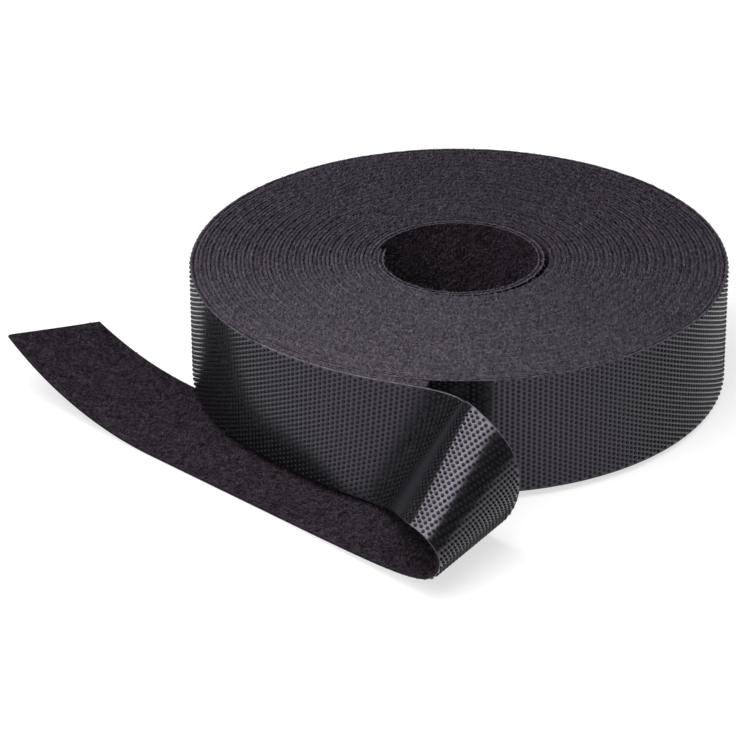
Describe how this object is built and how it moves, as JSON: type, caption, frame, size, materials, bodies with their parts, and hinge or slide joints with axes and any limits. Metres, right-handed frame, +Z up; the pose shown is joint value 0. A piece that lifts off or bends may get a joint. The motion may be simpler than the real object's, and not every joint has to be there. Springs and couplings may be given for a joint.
{
  "type": "hook and loop tape roll",
  "caption": "Coreless roll of back-to-back hook and loop tape, hook side out, with its free end curled over on to the surface and springing up at the cut tip.",
  "frame": {"origin": "middle of the part's footprint, on the surface that it rests on", "axes": "+Z up, roughly along the roll's axis; +Y away from the curl, across the roll; the free end points to -X"},
  "size_m": [0.1476, 0.1492, 0.0302],
  "materials": {
    "hook_film": "glossy moulded film with fine rows of hooks",
    "loop_fabric": "matt napped knit"
  },
  "bodies": {
    "roll": {"wound_hook_tape": "hook_film", "wound_loop_tape": "loop_fabric", "curl_hook_tape": "hook_film", "curl_loop_tape": "loop_fabric", "tail_hook_tape": "hook_film", "tail_loop_tape": "loop_fabric"},
    "free_end": {"free_end_hook_tape": "hook_film", "free_end_loop_tape": "loop_fabric"},
    "tip": {"tip_hook_tape": "hook_film", "tip_loop_tape": "loop_fabric"}
  },
  "joints": [
    {"name": "free_end_flex", "type": "hinge", "parent": "roll", "child": "free_end", "pos_m": [-0.04107, -0.00123, 0.00131], "axis": [0.2538, 0.9673, 0], "range_deg": [-5, 45], "stiffness_Nm_per_rad": 0.006},
    {"name": "tip_flex", "type": "hinge", "parent": "free_end", "child": "tip", "pos_m": [-0.05541, 0.01208, 0.00427], "axis": [0.2538, 0.9673, 0], "range_deg": [-15, 45], "stiffness_Nm_per_rad": 0.004}
  ]
}
